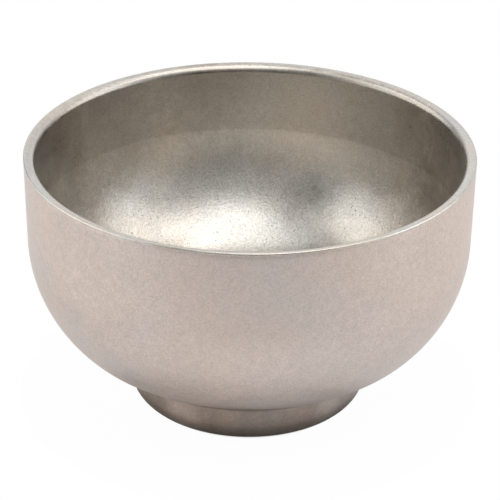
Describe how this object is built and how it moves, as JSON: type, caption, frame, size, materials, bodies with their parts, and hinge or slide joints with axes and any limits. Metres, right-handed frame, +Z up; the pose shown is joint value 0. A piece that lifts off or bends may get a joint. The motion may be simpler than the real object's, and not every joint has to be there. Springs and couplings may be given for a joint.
{
  "type": "double-walled bowl",
  "caption": "Double-walled stainless steel bowl with a broad sloping rim, rounded belly and closed foot cup, for holding food or liquid.",
  "frame": {"origin": "centre of the standing ring's plane, on the surface that the bowl stands on", "axes": "+Z up along the axis of revolution, through the centre of the mouth"},
  "size_m": [0.13, 0.13, 0.0775],
  "materials": {
    "inner_steel": "tumbled satin with fine grain and small pits",
    "outer_steel": "tumbled satin, softly clouded",
    "foot_steel": "tumbled satin with pale worn patches"
  },
  "bodies": {
    "root": {"inner_bowl": "inner_steel", "outer_shell": "outer_steel", "foot_cup": "foot_steel"}
  },
  "joints": []
}
